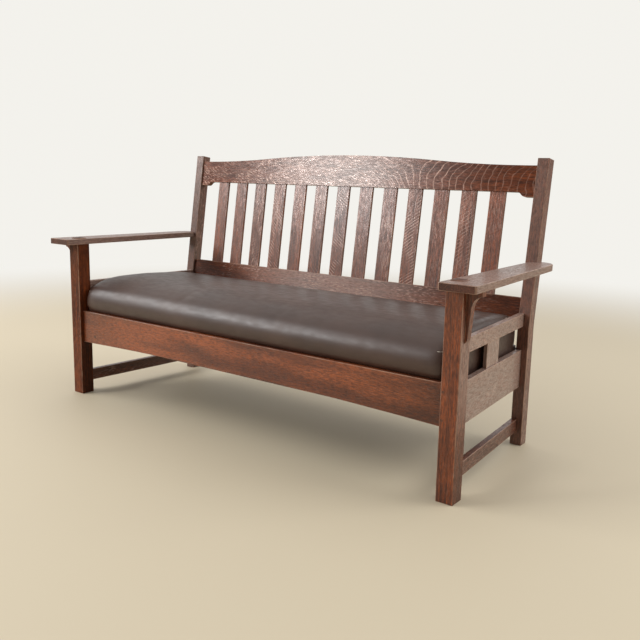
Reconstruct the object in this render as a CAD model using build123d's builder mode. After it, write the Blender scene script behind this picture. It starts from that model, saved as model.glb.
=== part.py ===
from build123d import *
import os
from math import cos, radians, sin, tan

os.makedirs("parts", exist_ok=True)

# A mission settle in quarter-sawn oak with a loose leather seat, in millimetres.
# X runs along the settle, +Y to its back and +Z up. The origin is on the floor,
# under the middle of the whole settle. Left and right are as seen from the front.

# Fits
play = 0.15
edge_ease = 1.5
rail_ease = 1.0

# Front legs
leg_span = 1746.0
front_leg_size = 55.0

# Rear legs, narrower than the front ones and set in from them
rear_leg_width = 41.0
rear_leg_depth = 44.0
rear_leg_inset = 41.0
rear_leg_setback = 594.0
post_height = 984.0
bend_lift = 81.5
bend_radius = 180.0
back_angle = 8.0

# Arms
arm_top = 638.0
arm_thickness = 22.0
arm_front_overhang = 48.0
arm_outer_overhang = 58.0
arm_lap_front = 1.6
arm_lap_rear = 28.3
arm_ear_reach = 59.0
arm_ear_radius = 58.0
arm_corner_clip = 5.0
leg_tenon_size = 40.0
leg_tenon_proud = 3.0
leg_tenon_chamfer = 2.5
arm_tenon_width = 20.0
arm_tenon_height = 10.0
arm_tenon_length = 14.0
arm_tenon_edge = 5.0

# Corbels under the arms
corbel_height = 149.0
corbel_reach = 47.0
corbel_nose = 15.0
corbel_cove_foot = 57.0
corbel_waist = 15.0
corbel_tip_width = 9.0
corbel_tip_height = 15.0
corbel_thickness = 21.0
spline_thickness = 7.0
spline_depth = 7.0
spline_drop = 20.0
spline_length = 90.0

# Joints of the rails
tenon_thickness = 8.0
tenon_shoulder = 9.0
tenon_wall = 4.5
post_tenon_wall = 3.0
front_tenon_cover = 17.0
rear_tenon_cover = 16.0

# Front seat rail, with a long shallow arch under it
front_rail_setback = 14.5
front_rail_stock = 20.0
front_rail_top = 346.5
front_rail_width = 128.5
front_rail_arch = 15.0

# Rear seat rail and side rails
rear_rail_setback = 12.0
rear_rail_stock = 20.0
side_stock = 20.0
side_setback_front = 25.0
side_setback_rear = 21.0
seat_rail_drop = 7.5
seat_rail_width = 131.0
side_window = 81.0
upper_rail_width = 45.0
stretcher_bottom = 47.0
stretcher_width = 45.5
side_slat_width = 102.0
side_slat_thickness = 12.0
side_slat_tenon = 12.0
slat_shoulder = 4.0

# Back, built on the slope of the posts
crest_setback = 6.5
crest_stock = 22.0
crest_drop = 24.0
crest_width = 90.0
crest_rise = 31.0
crest_ear_drop = 16.0
crest_ear_width = 30.0
crest_ogee_width = 34.0
crest_flat_end = 31.0
crest_turn_share = 0.53
back_tenon_thickness = 10.0
back_tenon_cover = 13.0
lower_rail_setback = 10.0
lower_rail_stock = 20.0
lower_rail_lift = 83.5
lower_rail_width = 87.0
slat_count = 13
slat_width = 59.0
slat_thickness = 10.0
slat_end_gap = 103.9
slat_setback = 13.0
slat_tenon = 15.0

# Pegs through the tenons
peg_diameter = 8.0
peg_length = 34.0
front_peg_edge = 7.3
back_peg_edge = 6.6
front_peg_drop_shares = (0.17, 0.81)
back_peg_drop_shares = (0.24, 0.88)

# Cleats that carry the loose seat, and their screws
cleat_width = 25.0
cleat_height = 24.0
cleat_gap = 1.0
screw_diameter = 4.0
screw_head = 8.0
screw_head_depth = 2.5
screw_bite = 12.0
screw_sides = 8
long_screw_count = 6
side_screw_count = 3

# Loose seat: its plan at the level of its frame
seat_front_gap = 2.0
seat_rear_gap = 4.0
seat_side_gap_front = 6.0
seat_side_gap_rear = 5.5
leather_thickness = 2.0
leather_underfold = 50.0
seat_frame_width = 45.0
seat_frame_height = 34.0
padding_foot = 3.0
seat_joint_thickness = 10.0
seat_joint_length = 32.0
seat_brace_count = 3
seat_brace_width = 60.0
seat_brace_thickness = 22.0
webbing_width = 50.0
webbing_thickness = 1.5
webbing_inset = 12.0
long_strap_count = 5
cross_strap_count = 15
burlap_thickness = 1.0
burlap_inset = 6.0
dust_cover_thickness = 1.0
dust_cover_gap = 3.0
staple_crown = 10.0
staple_wire = 0.8
staple_inset = 8.0
long_staple_count = 16
side_staple_count = 5

# The stuffed top: how far it swells past the frame and where it is highest
cushion_front_swell = 13.5
cushion_side_swell = 1.5
cushion_rear_swell = 0.5
cushion_thickness = 137.0
cushion_waist_lift = 0.5
cushion_front_run = 150.0
cushion_side_run = 95.0
cushion_rear_run = 380.0
cushion_corner = 26.0
leather_corner_share = 0.35
# Each level: share of the height, of the swell, of the runs in to the crown from the
# front, the sides and the rear, and of the corner radius.
cushion_level_shares = (
    (0.00, 0.00, 0.000, 0.000, 0.000, leather_corner_share),
    (0.05, 0.70, 0.000, 0.000, 0.000, 1.00),
    (0.12, 1.00, 0.000, 0.000, 0.000, 1.00),
    (0.47, 1.00, 0.000, 0.000, 0.000, 1.00),
    (0.61, 1.00, 0.030, 0.006, 0.002, 1.10),
    (0.69, 1.00, 0.100, 0.021, 0.011, 1.20),
    (0.77, 1.00, 0.220, 0.042, 0.053, 1.30),
    (0.85, 1.00, 0.373, 0.084, 0.224, 1.40),
    (0.92, 1.00, 0.553, 0.179, 0.500, 1.50),
    (0.97, 1.00, 0.767, 0.442, 0.789, 1.40),
    (1.00, 1.00, 1.000, 1.000, 1.000, 0.75),
)

# Heights worked out from the sizes above
front_rail_bottom = front_rail_top - front_rail_width
seat_rail_top = front_rail_top - seat_rail_drop
seat_rail_bottom = seat_rail_top - seat_rail_width
upper_rail_bottom = seat_rail_top + side_window
upper_rail_top = upper_rail_bottom + upper_rail_width
stretcher_top = stretcher_bottom + stretcher_width
bend_height = front_rail_top + bend_lift
lower_rail_bottom = front_rail_top + lower_rail_lift
lower_rail_top = lower_rail_bottom + lower_rail_width
crest_end_height = post_height - crest_drop
crest_bottom = crest_end_height - crest_width
crest_ear_bottom = crest_bottom - crest_ear_drop
arm_bottom = arm_top - arm_thickness
waist_height = front_rail_top + cushion_waist_lift
burlap_top = waist_height - padding_foot
webbing_top = burlap_top - burlap_thickness
frame_top = webbing_top - 2 * webbing_thickness
frame_base = frame_top - seat_frame_height
cleat_top = frame_base - leather_thickness
leather_corner = cushion_corner * leather_corner_share

# Places along and across the settle
slope = tan(radians(back_angle))
post_rise = (post_height - bend_height) / cos(radians(back_angle))
post_back_reach = (
    rear_leg_setback
    + (post_height - bend_height) * slope
    + rear_leg_depth * cos(radians(back_angle))
)
overall_depth = arm_front_overhang + post_back_reach
front_y = arm_front_overhang - overall_depth / 2
leg_back_y = front_y + front_leg_size
post_front_y = front_y + rear_leg_setback
leg_outer_x = leg_span / 2
leg_inner_x = leg_outer_x - front_leg_size
leg_middle_x = leg_outer_x - front_leg_size / 2
leg_middle_y = front_y + front_leg_size / 2
post_outer_x = leg_outer_x - rear_leg_inset
post_inner_x = post_outer_x - rear_leg_width
rail_front_y = front_y + front_rail_setback
rail_back_y = rail_front_y + front_rail_stock
rear_rail_front_y = post_front_y + rear_rail_setback
seat_front_y = rail_back_y + seat_front_gap
seat_rear_y = rear_rail_front_y - seat_rear_gap
slat_reach = post_inner_x - slat_end_gap - slat_width / 2

# Depths of the tenons, which stop short of each other inside the legs
front_tenon_length = front_leg_size - front_tenon_cover
leg_tenon_depth = (
    front_leg_size
    - front_rail_setback
    - (front_rail_stock + tenon_thickness) / 2
    - tenon_wall
)
post_tenon_depth = rear_rail_setback + (rear_rail_stock - tenon_thickness) / 2 - post_tenon_wall
upper_tenon_depth = (
    lower_rail_setback + (lower_rail_stock - back_tenon_thickness) / 2 - tenon_wall
)
rear_tenon_length = rear_leg_width - rear_tenon_cover
back_tenon_length = rear_leg_width - back_tenon_cover

# The sloping plane of the posts' front faces, with its own up direction
back_plane = Plane(
    origin=(0, post_front_y, bend_height),
    x_dir=(1, 0, 0),
    z_dir=(0, -cos(radians(back_angle)), sin(radians(back_angle))),
)


def up_slope(height):
    """Distance up the sloping plane from the bend to a height above the floor."""
    return (height - bend_height) / cos(radians(back_angle))


def upright(y):
    """Plane parallel to the front of the settle, at a depth y, facing forward."""
    return Plane.XZ.offset(-y)


def side_x(y, inset=0):
    """X of the right side rails' outer face at a depth y, less an inset."""
    front_x = leg_outer_x - side_setback_front
    rear_x = post_outer_x - side_setback_rear
    share = (y - leg_back_y) / (post_front_y - leg_back_y)
    return front_x + share * (rear_x - front_x) - inset


def seat_x(y):
    """Half the width of the loose seat at a depth y, at the level of its frame."""
    front_x = leg_inner_x - seat_side_gap_front
    rear_x = post_inner_x - seat_side_gap_rear
    share = (y - seat_front_y) / (seat_rear_y - seat_front_y)
    return front_x + share * (rear_x - front_x)


def seat_corners(front_inset, side_inset, rear_inset):
    """Corners of the seat's plan with each edge drawn in by its inset."""
    near_y = seat_front_y + front_inset
    far_y = seat_rear_y - rear_inset
    near_x = seat_x(near_y) - side_inset
    far_x = seat_x(far_y) - side_inset
    return ((-near_x, near_y), (near_x, near_y), (far_x, far_y), (-far_x, far_y))


def spread(count, reach):
    """Evenly spaced places from minus reach to plus reach."""
    return [reach * (2 * index / (count - 1) - 1) for index in range(count)]


def finish(piece, name):
    """Name a finished piece and write its file."""
    piece.part.label = name
    export_step(piece.part, f"parts/{name}.step")


def block_on(plane, centre, width, height, depth, mode=Mode.ADD):
    """A straight-sided block standing on a plane, added or cut."""
    with BuildSketch(plane) as section:
        with Locations(centre):
            Rectangle(width, height)
    extrude(section.sketch, amount=depth, mode=mode)


def side_prism(low, high, near_y, far_y, inset, thickness, mode=Mode.ADD):
    """A board that follows the slant of the right side rails."""
    with BuildSketch(Plane.XY.offset(low)) as plan:
        with BuildLine():
            Polyline(
                (side_x(near_y, inset), near_y),
                (side_x(far_y, inset), far_y),
                (side_x(far_y, inset + thickness), far_y),
                (side_x(near_y, inset + thickness), near_y),
                close=True,
            )
        make_face()
    extrude(plan.sketch, amount=high - low, mode=mode)


def side_tenons(low, high, rear_depth, gap=0, mode=Mode.ADD):
    """The tenons of a right side rail as one core, or with a gap their mortises."""
    side_prism(
        low + tenon_shoulder - gap,
        high - tenon_shoulder + gap,
        leg_back_y - leg_tenon_depth - gap,
        post_front_y + rear_depth + gap,
        (side_stock - tenon_thickness) / 2 - gap,
        tenon_thickness + 2 * gap,
        mode,
    )


def side_slat_tenons(gap=0, mode=Mode.ADD):
    """The two tenons of the right side slat as one core, or their mortises."""
    middle_y = (leg_back_y + post_front_y) / 2
    half_width = side_slat_width / 2 - slat_shoulder + gap
    side_prism(
        seat_rail_top - side_slat_tenon - gap,
        upper_rail_bottom + side_slat_tenon + gap,
        middle_y - half_width,
        middle_y + half_width,
        (side_stock - side_slat_thickness) / 2 - gap,
        side_slat_thickness + 2 * gap,
        mode,
    )


def back_core(low, high, half_width, setback, thickness, gap=0, mode=Mode.ADD):
    """A block along the sloping back between two heights, or with a gap its mortise."""
    middle = (up_slope(low) + up_slope(high)) / 2
    rise = up_slope(high) - up_slope(low)
    plane = back_plane.offset(gap - setback)
    block_on(plane, (0, middle), 2 * half_width, rise + 2 * gap, -thickness - 2 * gap, mode)


def slat_core(middle_x, gap=0, mode=Mode.ADD):
    """The two tenons of a back slat as one core, or with a gap their mortises."""
    low = up_slope(lower_rail_top) - slat_tenon - gap
    high = up_slope(crest_bottom) + slat_tenon + gap
    width = slat_width - 2 * slat_shoulder + 2 * gap
    plane = back_plane.offset(gap - slat_setback)
    block_on(plane, (middle_x, (low + high) / 2), width, high - low, -slat_thickness - 2 * gap, mode)


def crest_tenons(gap=0, mode=Mode.ADD):
    """The crest rail's tenons as one core, or their mortises."""
    back_core(
        crest_bottom,
        crest_end_height - tenon_shoulder,
        post_inner_x + back_tenon_length + gap,
        crest_setback + (crest_stock - back_tenon_thickness) / 2,
        back_tenon_thickness,
        gap,
        mode,
    )


def lower_rail_tenons(gap=0, mode=Mode.ADD):
    """The lower back rail's tenons as one core, or their mortises."""
    back_core(
        lower_rail_bottom + tenon_shoulder,
        lower_rail_top - tenon_shoulder,
        post_inner_x + back_tenon_length + gap,
        lower_rail_setback + (lower_rail_stock - back_tenon_thickness) / 2,
        back_tenon_thickness,
        gap,
        mode,
    )


def front_rail_tenons(gap=0, mode=Mode.ADD):
    """The front seat rail's tenons as one core, or their mortises."""
    low = front_rail_bottom + tenon_shoulder - gap
    high = front_rail_top - tenon_shoulder + gap
    plane = upright(rail_front_y + (front_rail_stock - tenon_thickness) / 2 - gap)
    width = 2 * (leg_inner_x + front_tenon_length + gap)
    block_on(plane, (0, (low + high) / 2), width, high - low, -tenon_thickness - 2 * gap, mode)


def rear_rail_tenons(gap=0, mode=Mode.ADD):
    """The rear seat rail's tenons as one core, or their mortises."""
    low = seat_rail_bottom + tenon_shoulder - gap
    high = seat_rail_top - tenon_shoulder + gap
    plane = upright(rear_rail_front_y + (rear_rail_stock - tenon_thickness) / 2 - gap)
    width = 2 * (post_inner_x + rear_tenon_length + gap)
    block_on(plane, (0, (low + high) / 2), width, high - low, -tenon_thickness - 2 * gap, mode)


def arm_tenon(gap=0, mode=Mode.ADD):
    """The stub tenon at the back of the right arm, or its mortise in the post."""
    width = arm_tenon_width + 2 * gap
    height = arm_tenon_height + 2 * gap
    middle_x = post_outer_x - arm_tenon_edge - arm_tenon_width / 2
    middle_z = arm_top - arm_thickness / 2
    start_y = post_front_y + (arm_bottom - bend_height) * slope - arm_tenon_length / 2
    end_y = post_front_y + (arm_top - bend_height) * slope + arm_tenon_length + gap
    block_on(upright(start_y), (middle_x, middle_z), width, height, start_y - end_y, mode)


def joint_peg_set(diameter):
    """Pegs of the front and crest rails' tenons, or with a larger diameter their holes."""
    front_x = leg_inner_x + front_peg_edge
    back_x = post_inner_x + back_peg_edge
    front_places = [(x, front_rail_top - front_rail_width * share)
                    for x in (-front_x, front_x) for share in front_peg_drop_shares]
    back_places = [(x, up_slope(crest_end_height - crest_width * share))
                   for x in (-back_x, back_x) for share in back_peg_drop_shares]
    with BuildPart() as pegs:
        with BuildSketch(upright(front_y)):
            with Locations(*front_places):
                Circle(diameter / 2)
        extrude(amount=-peg_length)
        with BuildSketch(back_plane):
            with Locations(*back_places):
                Circle(diameter / 2)
        extrude(amount=-peg_length)
    return pegs.part


peg_holes = joint_peg_set(peg_diameter + 2 * play)


def post_solid(inner_x, width):
    """The bent side outline of a rear leg, from an inner plane outward by a width."""
    top_front = (post_front_y + post_rise * sin(radians(back_angle)), post_height)
    top_back = (
        top_front[0] + rear_leg_depth * cos(radians(back_angle)),
        post_height - rear_leg_depth * sin(radians(back_angle)),
    )
    back_y = post_front_y + rear_leg_depth
    back_bend = bend_height - rear_leg_depth * tan(radians(back_angle / 2))
    with BuildPart() as post:
        with BuildSketch(Plane.YZ.offset(inner_x)):
            with BuildLine():
                FilletPolyline(
                    (post_front_y, 0),
                    (post_front_y, bend_height),
                    top_front,
                    radius=bend_radius + rear_leg_depth,
                )
                Line(top_front, top_back)
                FilletPolyline(top_back, (back_y, back_bend), (back_y, 0), radius=bend_radius)
                Line((back_y, 0), (post_front_y, 0))
            make_face()
        extrude(amount=width)
    return post.part


post_blank = post_solid(post_inner_x, rear_leg_width)


def corbel_spline(gap=0, mode=Mode.ADD):
    """The loose spline between the right corbel and its leg, or the grooves for it."""
    high = arm_bottom - spline_drop + gap
    low = arm_bottom - spline_drop - spline_length - gap
    start = Plane.YZ.offset(leg_outer_x - spline_depth - gap)
    width = spline_thickness + 2 * gap
    block_on(start, (leg_middle_y, (low + high) / 2), width, high - low, 2 * (spline_depth + gap), mode)


# Screws through the cleats: one place and direction for each
def screw_planes():
    """Planes on the cleats' inner faces, each facing along its screw into the rail."""
    height = cleat_top - cleat_height / 2
    long_reach = post_inner_x - 2 * cleat_width
    near_y = rail_back_y + cleat_width
    far_y = rear_rail_front_y - cleat_width
    planes = []
    for x in spread(long_screw_count, long_reach):
        planes.append(Plane(origin=(x, near_y, height), z_dir=(0, -1, 0)))
        planes.append(Plane(origin=(x, far_y, height), z_dir=(0, 1, 0)))
    side_middle = (near_y + far_y) / 2
    side_reach = (far_y - near_y) / 2 - 2 * cleat_width
    run_x = side_x(far_y) - side_x(near_y)
    run_y = far_y - near_y
    for shift in spread(side_screw_count, side_reach):
        y = side_middle + shift
        x = side_x(y, side_stock + cleat_width)
        planes.append(Plane(origin=(x, y, height), z_dir=(run_y, -run_x, 0)))
        planes.append(Plane(origin=(-x, y, height), z_dir=(-run_y, -run_x, 0)))
    return planes


def cleat_screw_set(gap):
    """Countersunk screws for all cleats, or with a gap the holes that take them."""
    length = cleat_width + screw_bite + gap
    with BuildPart() as screws:
        for plane in screw_planes():
            with BuildSketch(plane):
                RegularPolygon(screw_diameter / 2 + gap, screw_sides)
            extrude(amount=length)
            with BuildSketch(plane):
                RegularPolygon(screw_head / 2 + gap, screw_sides)
            with BuildSketch(plane.offset(screw_head_depth)):
                RegularPolygon(screw_diameter / 2 + gap, screw_sides)
            loft(ruled=True)
    return screws.part


cleat_screw_holes = cleat_screw_set(play)

# Right front leg: square, with a square tenon that comes through the arm
with BuildPart() as front_leg_right:
    with BuildSketch(Plane.XY):
        with Locations((leg_middle_x, leg_middle_y)):
            Rectangle(front_leg_size, front_leg_size)
    extrude(amount=arm_bottom)
    foot_edges = front_leg_right.faces().sort_by(Axis.Z)[0].edges()
    chamfer(front_leg_right.edges().filter_by(Axis.Z) + foot_edges, edge_ease)
    with BuildSketch(Plane.XY.offset(arm_bottom)):
        with Locations((leg_middle_x, leg_middle_y)):
            Rectangle(leg_tenon_size, leg_tenon_size)
    extrude(amount=arm_thickness + leg_tenon_proud)
    chamfer(front_leg_right.faces().sort_by(Axis.Z)[-1].edges(), leg_tenon_chamfer)
    front_rail_tenons(play, Mode.SUBTRACT)
    side_tenons(seat_rail_bottom, seat_rail_top, post_tenon_depth, play, Mode.SUBTRACT)
    side_tenons(upper_rail_bottom, upper_rail_top, upper_tenon_depth, play, Mode.SUBTRACT)
    side_tenons(stretcher_bottom, stretcher_top, post_tenon_depth, play, Mode.SUBTRACT)
    add(peg_holes, mode=Mode.SUBTRACT)
    corbel_spline(play, Mode.SUBTRACT)

# Right rear leg, which bends back above the seat
with BuildPart() as rear_leg_right:
    add(post_blank)
    chamfer(rear_leg_right.edges(), edge_ease)
    rear_rail_tenons(play, Mode.SUBTRACT)
    side_tenons(seat_rail_bottom, seat_rail_top, post_tenon_depth, play, Mode.SUBTRACT)
    side_tenons(upper_rail_bottom, upper_rail_top, upper_tenon_depth, play, Mode.SUBTRACT)
    side_tenons(stretcher_bottom, stretcher_top, post_tenon_depth, play, Mode.SUBTRACT)
    crest_tenons(play, Mode.SUBTRACT)
    lower_rail_tenons(play, Mode.SUBTRACT)
    arm_tenon(play, Mode.SUBTRACT)
    add(peg_holes, mode=Mode.SUBTRACT)

# Front seat rail
with BuildPart() as front_seat_rail:
    with BuildSketch(upright(rail_front_y)):
        with BuildLine():
            Polyline(
                (-leg_inner_x, front_rail_bottom),
                (-leg_inner_x, front_rail_top),
                (leg_inner_x, front_rail_top),
                (leg_inner_x, front_rail_bottom),
            )
            ThreePointArc(
                (leg_inner_x, front_rail_bottom),
                (0, front_rail_bottom + front_rail_arch),
                (-leg_inner_x, front_rail_bottom),
            )
        make_face()
    extrude(amount=-front_rail_stock)
    upright_or_across = (Axis.Z, Axis.Y)
    long_edges = front_seat_rail.edges()
    for axis in upright_or_across:
        long_edges = long_edges.filter_by(axis, reverse=True)
    chamfer(long_edges, rail_ease)
    front_rail_tenons()
    add(peg_holes, mode=Mode.SUBTRACT)
    add(cleat_screw_holes, mode=Mode.SUBTRACT)

# Rear seat rail
with BuildPart() as rear_seat_rail:
    with BuildSketch(upright(rear_rail_front_y)):
        with Locations((0, (seat_rail_bottom + seat_rail_top) / 2)):
            Rectangle(2 * post_inner_x, seat_rail_top - seat_rail_bottom)
    extrude(amount=-rear_rail_stock)
    chamfer(rear_seat_rail.edges().filter_by(Axis.X), rail_ease)
    rear_rail_tenons()
    add(cleat_screw_holes, mode=Mode.SUBTRACT)

# Right side rails and stretcher, all in one slanting plane
with BuildPart() as side_seat_rail_right:
    side_prism(seat_rail_bottom, seat_rail_top, leg_back_y, post_front_y, 0, side_stock)
    chamfer(side_seat_rail_right.edges().group_by(SortBy.LENGTH)[-1], rail_ease)
    side_tenons(seat_rail_bottom, seat_rail_top, post_tenon_depth)
    side_slat_tenons(play, Mode.SUBTRACT)
    add(cleat_screw_holes, mode=Mode.SUBTRACT)

with BuildPart() as upper_side_rail_right:
    side_prism(
        upper_rail_bottom,
        upper_rail_top,
        leg_back_y,
        post_front_y + rear_leg_depth / 2,
        0,
        side_stock,
    )
    chamfer(upper_side_rail_right.edges().group_by(SortBy.LENGTH)[-1], rail_ease)
    add(post_solid(post_inner_x - side_stock, rear_leg_width + side_stock), mode=Mode.SUBTRACT)
    side_tenons(upper_rail_bottom, upper_rail_top, upper_tenon_depth)
    side_slat_tenons(play, Mode.SUBTRACT)

with BuildPart() as lower_stretcher_right:
    side_prism(stretcher_bottom, stretcher_top, leg_back_y, post_front_y, 0, side_stock)
    chamfer(lower_stretcher_right.edges().group_by(SortBy.LENGTH)[-1], rail_ease)
    side_tenons(stretcher_bottom, stretcher_top, post_tenon_depth)

with BuildPart() as side_slat_right:
    side_prism(
        seat_rail_top,
        upper_rail_bottom,
        (leg_back_y + post_front_y - side_slat_width) / 2,
        (leg_back_y + post_front_y + side_slat_width) / 2,
        (side_stock - side_slat_thickness) / 2,
        side_slat_thickness,
    )
    chamfer(side_slat_right.edges().filter_by(Axis.Z), rail_ease)
    side_slat_tenons()

# Right arm: a tapering board notched round the post, with a rounded ear behind
with BuildPart() as arm_right:
    arm_rear_y = post_front_y + arm_ear_reach
    arm_near_y = front_y - arm_front_overhang
    arm_inner_front = (leg_inner_x - arm_lap_front, arm_near_y)
    arm_inner_rear = (post_outer_x - arm_lap_rear, arm_rear_y)
    arm_outer_front = (leg_outer_x + arm_outer_overhang, arm_near_y)
    arm_outer_rear = (post_outer_x + arm_outer_overhang, arm_rear_y)
    with BuildSketch(Plane.XY.offset(arm_bottom)) as arm_plan:
        with BuildLine():
            Polyline(arm_inner_front, arm_outer_front, arm_outer_rear, arm_inner_rear, close=True)
        make_face()
        chamfer(arm_plan.vertices().sort_by(Axis.Y)[0:2], arm_corner_clip)
        fillet(arm_plan.vertices().sort_by(Axis.X)[-1], arm_corner_clip)
        fillet(arm_plan.vertices().group_by(Axis.Y)[-1].sort_by(Axis.X)[-1], arm_ear_radius)
    extrude(amount=arm_thickness)
    chamfer(arm_right.faces().filter_by(Axis.Z).edges(), edge_ease)
    add(post_blank, mode=Mode.SUBTRACT)
    with BuildSketch(Plane.XY.offset(arm_bottom)):
        with Locations((leg_middle_x, leg_middle_y)):
            Rectangle(leg_tenon_size + 2 * play, leg_tenon_size + 2 * play)
    extrude(amount=arm_thickness, mode=Mode.SUBTRACT)
    arm_tenon()

# Right corbel: a nose under the arm, a cove, and a slim stem down the leg
with BuildPart() as corbel_right:
    corbel_plane = upright(leg_middle_y - corbel_thickness / 2)
    stem_x = leg_outer_x + corbel_waist
    nose_x = leg_outer_x + corbel_reach
    cove_foot_z = arm_bottom - corbel_cove_foot
    tip_z = arm_bottom - corbel_height
    with BuildSketch(corbel_plane):
        with BuildLine():
            Polyline((leg_outer_x, tip_z), (leg_outer_x, arm_bottom), (nose_x, arm_bottom),
                     (nose_x, arm_bottom - corbel_nose))
            EllipticalCenterArc(
                (nose_x, cove_foot_z),
                corbel_reach - corbel_waist,
                corbel_cove_foot - corbel_nose,
                start_angle=90,
                arc_size=90,
            )
            stem = Line((stem_x, cove_foot_z), (leg_outer_x + corbel_tip_width, tip_z + corbel_tip_height))
            TangentArc(stem @ 1, (leg_outer_x, tip_z), tangent=stem % 1)
        make_face()
    extrude(amount=-corbel_thickness)
    corbel_spline(play, Mode.SUBTRACT)

# Crest rail: raised in the middle on two long curves, with dropped ears at its ends
with BuildPart() as crest_rail:
    crest_mid_v = up_slope(crest_end_height + crest_rise)
    crest_end_v = up_slope(crest_end_height)
    crest_low_v = up_slope(crest_bottom)
    crest_ear_v = up_slope(crest_ear_bottom)
    crest_run = post_inner_x - crest_flat_end
    ear_x = post_inner_x - crest_ear_width
    ogee_x = ear_x - crest_ogee_width
    turn_point = (
        crest_run * crest_turn_share,
        crest_mid_v + (crest_end_v - crest_mid_v) * crest_turn_share,
    )
    ogee_point = ((ear_x + ogee_x) / 2, (crest_low_v + crest_ear_v) / 2)
    with BuildSketch(back_plane.offset(-crest_setback)):
        with BuildLine():
            TangentArc((0, crest_mid_v), turn_point, tangent=(1, 0))
            TangentArc((crest_run, crest_end_v), turn_point, tangent=(-1, 0))
            Polyline((crest_run, crest_end_v), (post_inner_x, crest_end_v),
                     (post_inner_x, crest_ear_v), (ear_x, crest_ear_v))
            TangentArc((ear_x, crest_ear_v), ogee_point, tangent=(-1, 0))
            TangentArc((ogee_x, crest_low_v), ogee_point, tangent=(1, 0))
            Line((ogee_x, crest_low_v), (0, crest_low_v))
            mirror(about=Plane.YZ)
        make_face()
    extrude(amount=-crest_stock)
    crest_tenons()
    for middle_x in spread(slat_count, slat_reach):
        slat_core(middle_x, play, Mode.SUBTRACT)
    add(peg_holes, mode=Mode.SUBTRACT)

# Lower back rail
with BuildPart() as lower_back_rail:
    back_core(lower_rail_bottom, lower_rail_top, post_inner_x, lower_rail_setback, lower_rail_stock)
    chamfer(lower_back_rail.edges().filter_by(Axis.X), rail_ease)
    lower_rail_tenons()
    for middle_x in spread(slat_count, slat_reach):
        slat_core(middle_x, play, Mode.SUBTRACT)

# Pegs, splines and screws
with BuildPart() as joint_pegs:
    add(joint_peg_set(peg_diameter))
finish(joint_pegs, "joint_pegs")

with BuildPart() as corbel_splines:
    corbel_spline()
    mirror(about=Plane.YZ)
finish(corbel_splines, "corbel_splines")

with BuildPart() as cleat_screws:
    add(cleat_screw_set(0))
finish(cleat_screws, "cleat_screws")

# Pieces on the middle line
finish(front_seat_rail, "front_seat_rail")
finish(rear_seat_rail, "rear_seat_rail")
finish(crest_rail, "crest_rail")
finish(lower_back_rail, "lower_back_rail")

# Back slats, numbered from the left
for index, middle_x in enumerate(spread(slat_count, slat_reach)):
    slat_low = up_slope(lower_rail_top)
    slat_high = up_slope(crest_bottom)
    with BuildPart() as back_slat:
        block_on(
            back_plane.offset(-slat_setback),
            (middle_x, (slat_low + slat_high) / 2),
            slat_width,
            slat_high - slat_low,
            -slat_thickness,
        )
        chamfer(back_slat.edges().group_by(SortBy.LENGTH)[-1], rail_ease)
        slat_core(middle_x)
    finish(back_slat, f"back_slat_{index + 1:02d}")

# Cleats screwed to the inner faces of the seat rails
with BuildPart() as seat_cleat_front:
    with BuildSketch(Plane.XY.offset(cleat_top - cleat_height)):
        with Locations((0, rail_back_y + cleat_width / 2)):
            Rectangle(2 * (leg_inner_x - cleat_gap), cleat_width)
    extrude(amount=cleat_height)
    add(cleat_screw_holes, mode=Mode.SUBTRACT)
finish(seat_cleat_front, "seat_cleat_front")

with BuildPart() as seat_cleat_rear:
    with BuildSketch(Plane.XY.offset(cleat_top - cleat_height)):
        with Locations((0, rear_rail_front_y - cleat_width / 2)):
            Rectangle(2 * (post_inner_x - cleat_gap), cleat_width)
    extrude(amount=cleat_height)
    add(cleat_screw_holes, mode=Mode.SUBTRACT)
finish(seat_cleat_rear, "seat_cleat_rear")

with BuildPart() as seat_cleat_right:
    side_prism(
        cleat_top - cleat_height,
        cleat_top,
        rail_back_y + cleat_width + cleat_gap,
        rear_rail_front_y - cleat_width - cleat_gap,
        side_stock,
        cleat_width,
    )
    add(cleat_screw_holes, mode=Mode.SUBTRACT)

# Left-hand pieces mirror the right-hand ones
right_hand_pieces = {
    "front_leg": front_leg_right,
    "rear_leg": rear_leg_right,
    "side_seat_rail": side_seat_rail_right,
    "upper_side_rail": upper_side_rail_right,
    "lower_stretcher": lower_stretcher_right,
    "side_slat": side_slat_right,
    "arm": arm_right,
    "corbel": corbel_right,
    "seat_cleat": seat_cleat_right,
}
for piece_name, right_piece in right_hand_pieces.items():
    finish(right_piece, f"{piece_name}_right")
    with BuildPart() as left_piece:
        mirror(right_piece.part, about=Plane.YZ)
    finish(left_piece, f"{piece_name}_left")


# Loose seat
def stuffed_form(skin):
    """The swelling top of the seat inside a skin of a given thickness."""
    with BuildPart() as form:
        for height_share, swell_share, *run_shares, corner_share in cushion_level_shares:
            front_share, side_share, rear_share = run_shares
            height = waist_height + (cushion_thickness - skin) * height_share
            corners = seat_corners(
                skin + cushion_front_run * front_share - cushion_front_swell * swell_share,
                skin + cushion_side_run * side_share - cushion_side_swell * swell_share,
                skin + cushion_rear_run * rear_share - cushion_rear_swell * swell_share,
            )
            with BuildSketch(Plane.XY.offset(height)) as level:
                Polygon(*corners, align=None)
                fillet(level.vertices(), cushion_corner * corner_share - skin)
        loft(ruled=True)
    return form.part


stuffing_form = stuffed_form(leather_thickness)

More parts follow.
